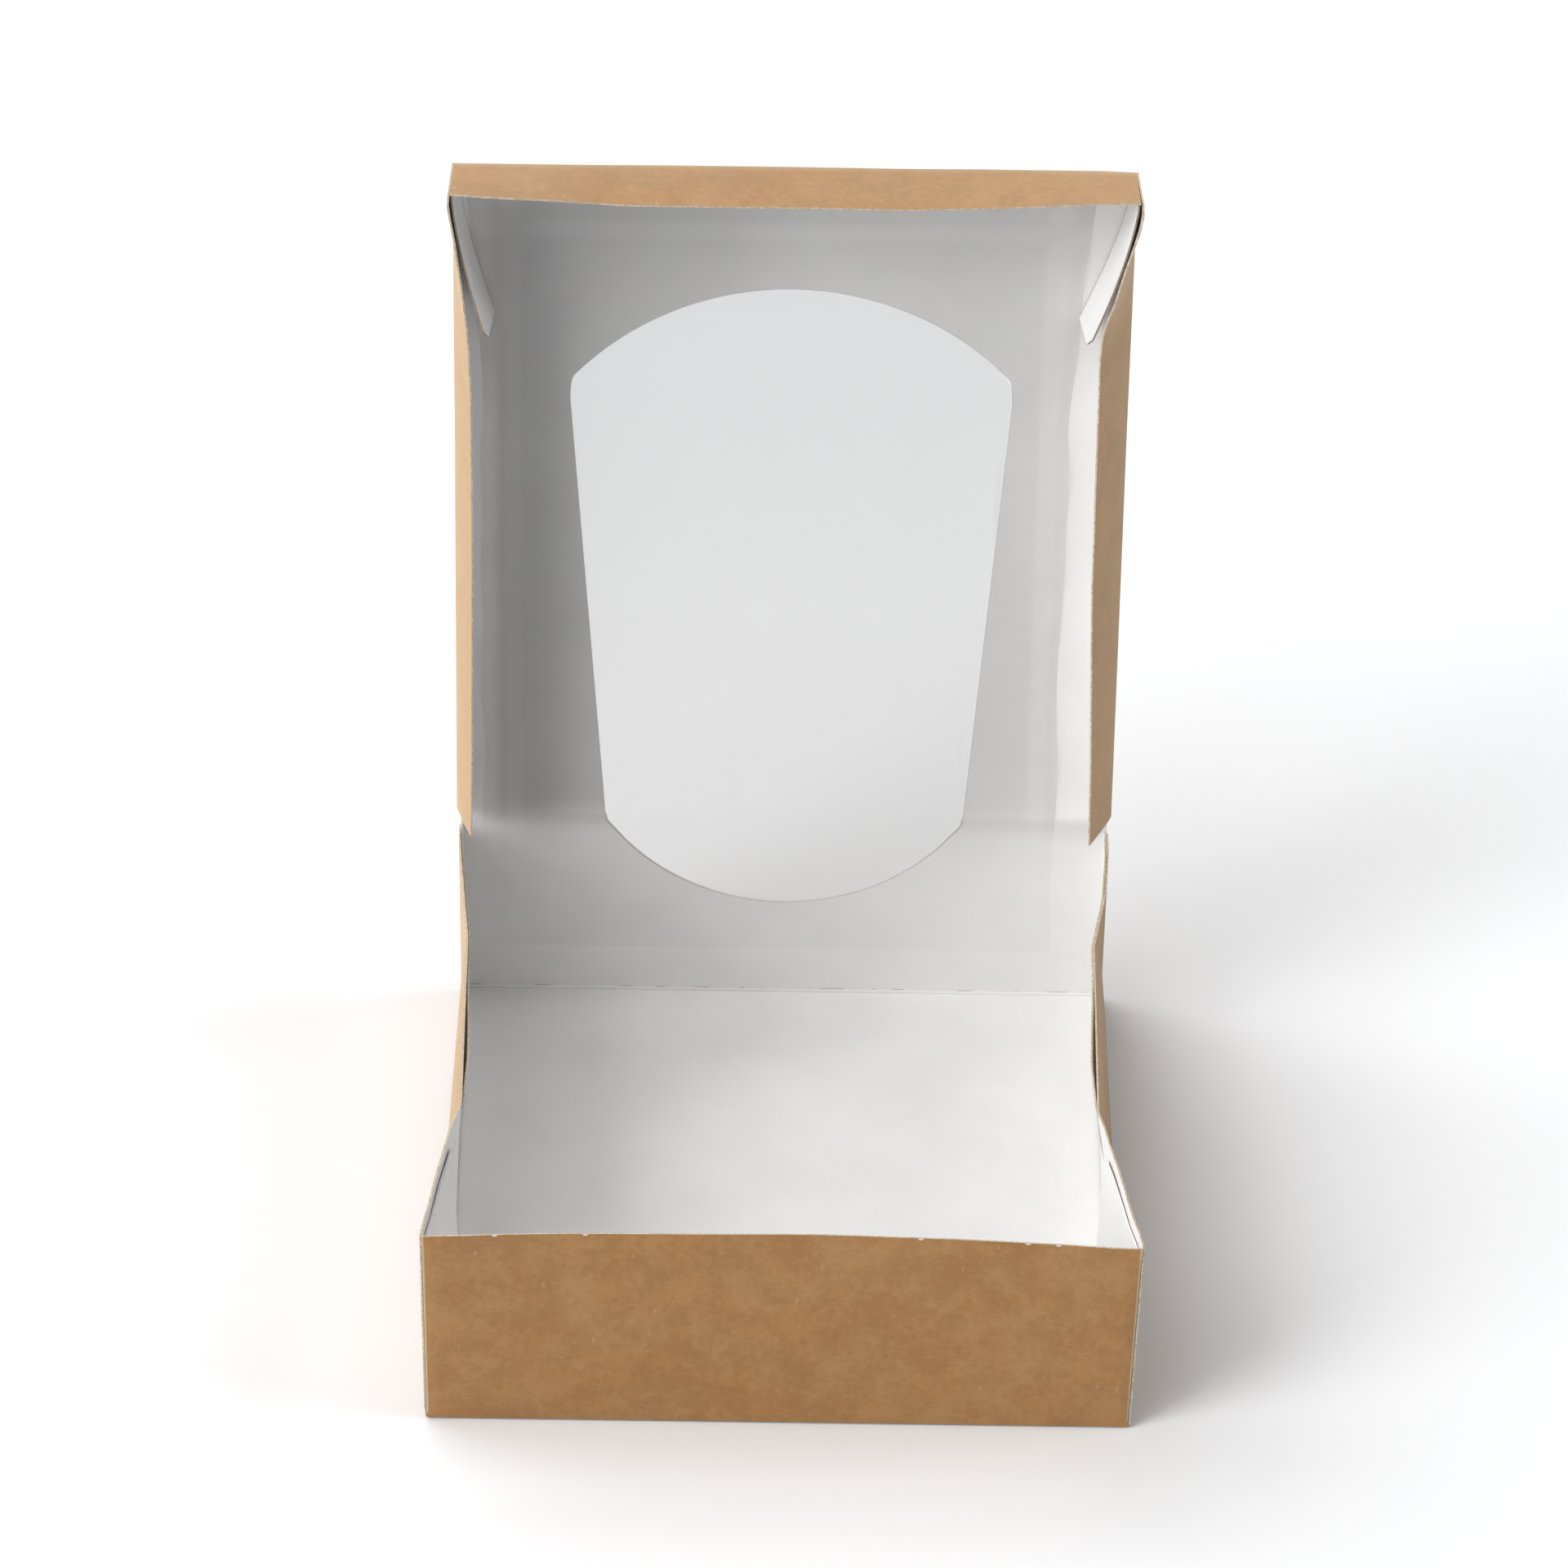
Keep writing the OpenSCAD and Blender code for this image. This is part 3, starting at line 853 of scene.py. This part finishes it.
# %% Build the side walls
def lid_wall(name, out, profile):
    """One side wall, its lean read from the profile, its rear end cut at a slant."""
    wall = start_mesh(name)
    ends = sorted((out * LID_HALF_W, out * (LID_HALF_W + LID_WALL)))
    panel(wall, "part", ends, (CREASE_Y + 0.6 * MM, LID_END), (6, 53))
    bpy.ops.object.mode_set(mode="OBJECT")
    keep_layout(wall)
    bpy.ops.object.mode_set(mode="EDIT")
    fold(wall, ["part"], "Y", (out * LID_HALF_W, 0, 0), -90 * out)
    bpy.ops.object.mode_set(mode="OBJECT")
    spots = places(wall)
    along, height = (spots[:, 1] - CREASE_Y) / MM, spots[:, 2] / LID_WALL
    lean = np.interp(along, *profile) * height**1.1
    spots[:, 0] = out * (LID_HALF_W - lean * MM)
    spots[:, 1] += REAR_SLANT * height * fades(along, 12)
    put_places(wall, spots)
    face_out(wall, out)
    raise_lid_part(wall)
    return wall


for name, out, profile in (("lid_wall_left", -1, LID_LEFT), ("lid_wall_right", 1, LID_RIGHT)):
    finish_part(lid_wall(name, out, profile))


# %% Build the tabs
def lid_tab(name, out, foot, rim, curl):
    """One tab, swung in by so many mm at its foot and its rim, and curled by a power."""
    tab = start_mesh(name)
    ends = sorted((out * LID_HALF_W, out * (LID_HALF_W + LID_TAB)))
    panel(tab, "part", ends, (LID_END + 0.7 * MM, LID_END + LID_TAB_H), (12, 6))
    corner = (out * (LID_HALF_W + LID_TAB - 2 * MM), LID_END + LID_TAB_H, 0)
    crease(tab, ["part"], corner, (out, 0.8, 0), trim=True)
    bpy.ops.object.mode_set(mode="OBJECT")
    keep_layout(tab)
    bpy.ops.object.mode_set(mode="EDIT")
    fold(tab, ["part"], "Y", (out * LID_HALF_W, 0, 0), -90 * out)
    fold(tab, ["part"], "X", (0, LID_END, 0), 90)
    bpy.ops.object.mode_set(mode="OBJECT")
    spots = places(tab)
    back, height = (LID_END - spots[:, 1]) / LID_TAB, spots[:, 2] / LID_WALL
    swing = (foot + (rim - foot) * height) * back**curl
    spots[:, 0] = out * (LID_HALF_W - BOARD - (0.05 + swing) * MM)
    spots[:, 1] -= 0.1 * MM
    put_places(tab, spots)
    face_out(tab, out)
    raise_lid_part(tab)
    return tab


for side, (out, foot, rim, curl) in LID_TABS.items():
    finish_part(lid_tab("lid_tab_" + side, out, foot, rim, curl))

# %% [markdown]
# ## The board bends at its crease
#
# The tray and the lid are one sheet. The band of rows from just below the crease to just above it is given
# here; the board's placement is baked into its points, and the CAD tray and lid are hidden.

# %% Bake the board and hide the CAD tray and lid
CREASE_START = (0, hinge["pos_m"][1], CREASE_Z - 1.6 * MM)
CREASE_STOP = (0, hinge["pos_m"][1], CREASE_Z + 2.0 * MM)
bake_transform(board)
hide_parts("tray", "lid")
print("board bends from", CREASE_START, "to", CREASE_STOP)

# %% [markdown]
# ## The film
#
# One sheet of clear film is glued inside the lid and the back wall. Only a frame of glue round the window
# holds it, so its outer margins lift in soft waves. Where they lift, the film is painted lighter and a little
# more opaque: a painted glint for the streaks of light they catch.

# %% The flat film
FILM_LEFT, FILM_RIGHT = -69.5 * MM, 62.5 * MM
FILM_TOP, FILM_FOOT = 153 * MM, -37.5 * MM
FILM_T = 0.06 * MM
MARGIN = 7 * MM
film = start_mesh("window_film")
panel(film, "part", (FILM_LEFT, FILM_RIGHT), (CREASE_Y + FILM_FOOT, CREASE_Y + FILM_TOP), (66, 94))
for step in sorted(CREASE_ROWS + (0,)):
    crease(film, ["part"], (0, CREASE_Y + step * MM, 0), (0, 1, 0))
bpy.ops.object.mode_set(mode="OBJECT")
keep_layout(film)


def margin(x):
    """0 inside the glue frame, 1 at the film's outer edge."""
    middle, half = (FILM_LEFT + FILM_RIGHT) / 2, (FILM_RIGHT - FILM_LEFT) / 2
    return np.clip((np.abs(x - middle) - (half - MARGIN)) / MARGIN, 0, 1)


def per_point(sheet, name, values):
    """Stores a number on each point, for the finish to read."""
    store = sheet.data.attributes.new(name, "FLOAT", "POINT")
    store.data.foreach_set("value", np.asarray(values, "f"))


# %% Lift the film's margins and stretch it over the crease
FILM_FLARE = {-1: ([118, 134, 153], [0, 1.3, 4.0]), 1: ([96, 132, 153], [0, 2.2, 4.5])}
GLUE_T, LIFT_H, TENT_H, OVER_CREASE = 0.08 * MM, 0.9 * MM, 1.0 * MM, 0.22 * MM
spots = places(film)
waves = np.array([noise.noise(Vector((3.1 if x < 0 else 7.7, y * 45, 0))) for x, y, z in spots])
ripples = np.array([noise.noise(Vector((x * 90, y * 140, 5))) for x, y, z in spots])
edge = margin(spots[:, 0])
side = np.sign(spots[:, 0])
up = (spots[:, 1] - CREASE_Y) / MM
lift = edge**1.5 * np.clip(0.35 + waves + 0.5 * ripples, 0, 1) * np.clip((up - 4) / 10, 0.15, 1)
per_point(film, "lift", lift)
spots[:, 0] += side * edge * waves * 1.2 * MM
for out, flare in FILM_FLARE.items():
    spots[:, 0] += out * edge * (side == out) * np.interp(up, *flare) * MM
in_window = np.clip(1 - (spots[:, 0] / (45 * MM)) ** 2, 0, 1)
ridge_at = 16.3 - 5.5 * (spots[:, 0] / (41 * MM)) ** 2
above = np.maximum(up - ridge_at, 0)
tent = np.where(up < ridge_at, np.clip(up / ridge_at, 0, 1), np.exp(-above / 13))
tent -= 0.105 * np.exp(-(((up - ridge_at) / 2.2) ** 2))
over_crease = OVER_CREASE * np.exp(-((up / 5) ** 2))
spots[:, 2] = BOARD + GLUE_T + over_crease + lift * LIFT_H + TENT_H * in_window * tent
put_places(film, spots)
print("film lifts by up to", round((spots[:, 2].max() - BOARD) / MM, 2), "mm")

# %% Fold the film with the lid
lid_turn = Matrix.Rotation(math.radians(-lid_back), 3, "X")
stand = Matrix.Rotation(math.radians(90), 3, "X")
spots = places(film)
bent = []
for spot in spots:
    spot = Vector(spot)
    if spot.y > CREASE_Y:
        pivot = Vector((0, CREASE_Y, 0))
        spot = pivot + lid_turn @ (spot - pivot)
    bent.append(Vector(BACK_FOLD) + stand @ (spot - Vector(BACK_FOLD)))
spots = warp_lid(np.array(bent))
spots[:, 1] -= ridge(spots[:, 2])
put_places(film, spots)
print("film box", spots.min(0).round(4), spots.max(0).round(4))

# %% The film's finish
SIDES_LOW, SIDES_LEN = -1.7 * MM, 109.3 * MM
GLUE = {"left": (-62.2, 1.0, 2.8), "right": (57.9, 1.2, 3.0), "top": (143.5, 1.0, 2.8)}
FILM_TINT_AND_GLINT = (0.33, 0.33, 0.33, 1), (0.8, 0.8, 0.8, 1)
HAZE = 0.21


def over_window(across, up):
    """1 where the film spans the window, 0 where it lies on board."""
    away = across.size()
    above = (up - (WINDOW_TOP - WINDOW_TOP_R)).or_more(0)
    top = (away * away + above * above) ** 0.5 - WINDOW_TOP_R
    below = (WINDOW_LOW + WINDOW_LOW_R - up).or_more(0)
    low = (away * away + below * below) ** 0.5 - WINDOW_LOW_R - up.or_more(0) * 0.02
    sides = away - LOW_X - (up - SIDES_LOW) * ((SHOULDER_X - LOW_X) / SIDES_LEN)
    outside = top.math("SMOOTH_MAX", top, sides, 4 * MM).or_more(low)
    return 1 - outside.between(-0.2 * MM, 0.3 * MM)


def glue_line(place, middle, core, reach):
    """1 on a line of glue, 0 beyond its reach. All three sizes are in mm."""
    return 1 - (place - middle * MM).size().between(core * MM, reach * MM)


def film_finish():
    clear = Finish("clear_film")
    across, along = clear.sheet_axes()
    up = along - CREASE_Y
    lift = clear.node("ShaderNodeAttribute", {"attribute_name": "lift"}, out=2)
    glue = glue_line(across, *GLUE["left"]).or_more(glue_line(across, *GLUE["right"]))
    glue = glue.or_more(glue_line(up, *GLUE["top"]))
    streaks = clear.noise(clear.sheet_place((3, 0.22, 1), 3), 60, 2.0).between(0.66, 0.80)
    # Painted shade: the grey film is made more opaque over the left of the lid, and more so higher up,
    # darkening the liner where the lid's left wall shades it.
    painted_left_shade = (1 - across.between(-45 * MM, 15 * MM)) * (0.5 + across.between(-69 * MM, -60 * MM) * 0.5)
    outer = (1 - across.between(-68 * MM, -64.5 * MM)) * (1 - up.between(95 * MM, 115 * MM) * 0.5)
    on_board = 0.09 + painted_left_shade * up.between(0, 60 * MM) * 0.06 + painted_left_shade * 0.06 - glue * 0.02
    on_board = on_board * (1 - outer * 0.6)
    # Painted glint: the film is made a little more opaque where its margin lifts.
    on_board = on_board * (0.12 + up.between(-6 * MM, 4 * MM) * 0.88) + lift * 0.06
    window = over_window(across, up)
    # Painted shade: over the window the haze rises towards the top, darkening the upper window to match its
    # shaded lower part.
    haze_and_painted_shade = HAZE + up.between(0, 120 * MM) * 0.04 + streaks * 0.03
    alpha = on_board * (1 - window) + haze_and_painted_shade * window
    # Painted highlight: where the margin lifts, the film's grey goes towards a light glint colour.
    tint_and_glint = clear.blend(lift * 0.8, *FILM_TINT_AND_GLINT)
    values = {"Base Color": tint_and_glint, "Roughness": 0.10, "Alpha": alpha, "Specular IOR Level": 0.5}
    return clear.surface(clear.node("ShaderNodeBsdfPrincipled", {}, values))


# %% Give the film its thickness, bake its placement and hide the CAD films
film.data.materials.append(film_finish())
skin = film.modifiers.new("thickness", "SOLIDIFY")
skin.thickness = FILM_T
skin.offset = 0
choose_object(film)
bpy.ops.object.modifier_apply(modifier=skin.name)
bpy.ops.object.shade_smooth_by_angle(angle=math.radians(60))
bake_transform(film)
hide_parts("lid_window_film", "back_window_film")
print("film", len(film.data.polygons), "faces")

# %% [markdown]
# ## The camera
#
# The photograph was taken from about 1.3 metres away with a long lens, looking down by about a third of a
# right angle. The place, turn, tilt and roll come from matching the box's corners and rims.

# %% Place the camera
YAW, PITCH, ROLL = 0.405, 33.417, 1.060
CAMERA_AT = (-0.00815, -1.05235, 0.80532)
LENS_MM, SENSOR_MM = 135.29, 36
lens = bpy.data.cameras.new("camera")
lens.lens = LENS_MM
lens.sensor_width = SENSOR_MM
camera = bpy.data.objects.new("camera", lens)
bpy.context.collection.objects.link(camera)
aim = Matrix.Rotation(math.radians(-YAW), 4, "Z") @ Matrix.Rotation(math.radians(90 - PITCH), 4, "X")
aim = aim @ Matrix.Rotation(math.radians(ROLL), 4, "Z")
camera.matrix_world = Matrix.Translation(CAMERA_AT) @ aim
bpy.context.scene.camera = camera
print("camera forward", [round(v, 5) for v in -camera.matrix_world.col[2].xyz])
print("camera right", [round(v, 5) for v in camera.matrix_world.col[0].xyz])

# %% [markdown]
# ## Floor and light
#
# A white table in a studio. Pure white comes from a glow that is added only to what the camera, gloss and
# glass see, so the box itself is lit at a plain level. Close to the box, by how much of the room the box
# hides there, the table's white is painted darker: a painted soft contact shadow.

# %% The floor
FLOOR_SIZE, FLOOR_Z = 6, -0.3 * MM
FLOOR_GLOW = 0.10
FLOOR_WHITE, FLOOR_PAINTED_SHADOW = (0.853, 0.86, 0.872, 1), (0.66, 0.665, 0.675, 1)
PAINTED_SHADOW_REACH = 24 * MM


def floor_finish():
    table = Finish("white_table")
    reach = {"Distance": PAINTED_SHADOW_REACH}
    # Painted shadow: the floor's colour darkens near the box by how much of the room the box hides.
    openness = table.node("ShaderNodeAmbientOcclusion", {"samples": 12}, reach, out=1)
    stops = [(0.45, FLOOR_PAINTED_SHADOW), (1, FLOOR_WHITE)]
    white = table.node("ShaderNodeValToRGB", {"stops": stops}, {"Fac": openness})
    paint = table.node("ShaderNodeBsdfDiffuse", {}, {"Color": white})
    shine = table.background_seen() * FLOOR_GLOW
    glow = table.node("ShaderNodeEmission", {}, {"Color": (1, 1, 1, 1), "Strength": shine})
    return table.surface(table.node("ShaderNodeAddShader", {}, {0: paint, 1: glow}))


bpy.ops.object.select_all(action="DESELECT")
bpy.ops.mesh.primitive_grid_add(x_subdivisions=8, y_subdivisions=8, size=FLOOR_SIZE, location=(0, 0, FLOOR_Z))
floor = bpy.context.object
floor.name = "floor"
floor.data.materials.append(floor_finish())
print("floor", FLOOR_SIZE, "metres wide at", FLOOR_Z)

# %% [markdown]
# ## Lamps
#
# The light comes mostly from the left, low and high, with some from behind and a little from the right. It
# could be one large soft lamp near the box. Here each is a far lamp with a wide angle, because a far one
# lights the lid and the tray by the same amount, as in the photograph. Each is given by the direction that
# it comes from, in degrees round the table and above it, and its level.

# %% Lamps and room
LAMP_FAR = 2
SOFTNESS = math.radians(32)
LAMPS = {
    "left_low": (210, 15, 0.42),
    "left_middle": (210, 38, 0.38),
    "left_high": (225, 60, 0.22),
    "behind_left": (150, 38, 0.30),
    "behind": (112, 40, 0.30),
    "right": (0, 38, 0.30),
}


def softlight(name, around, above, level):
    """A far, soft lamp. Level 1 lights a white surface that faces it to white."""
    light = bpy.data.lights.new(name, "SUN")
    light.angle = SOFTNESS
    light.energy = level * math.pi
    lamp = bpy.data.objects.new(name, light)
    bpy.context.collection.objects.link(lamp)
    turn = Matrix.Rotation(math.radians(around), 3, "Z") @ Matrix.Rotation(math.radians(-above), 3, "Y")
    towards = turn @ Vector((1, 0, 0))
    lamp.location = towards * LAMP_FAR
    lamp.rotation_euler = (-towards).to_track_quat("-Z", "Y").to_euler()
    print(name, [round(v, 2) for v in towards], "level", level)


for name, (around, above, level) in LAMPS.items():
    softlight(name, around, above, level)
ROOM_LEVEL = 0.03


def room_finish():
    room = Finish("room", bpy.data.worlds)
    strength = ROOM_LEVEL + room.background_seen() * (1 - ROOM_LEVEL)
    sky = room.node("ShaderNodeBackground", {}, {"Color": (1, 1, 1, 1), "Strength": strength})
    return room.surface(sky, "ShaderNodeOutputWorld")


bpy.context.scene.world = room_finish()
bpy.context.scene.view_settings.view_transform = "Standard"
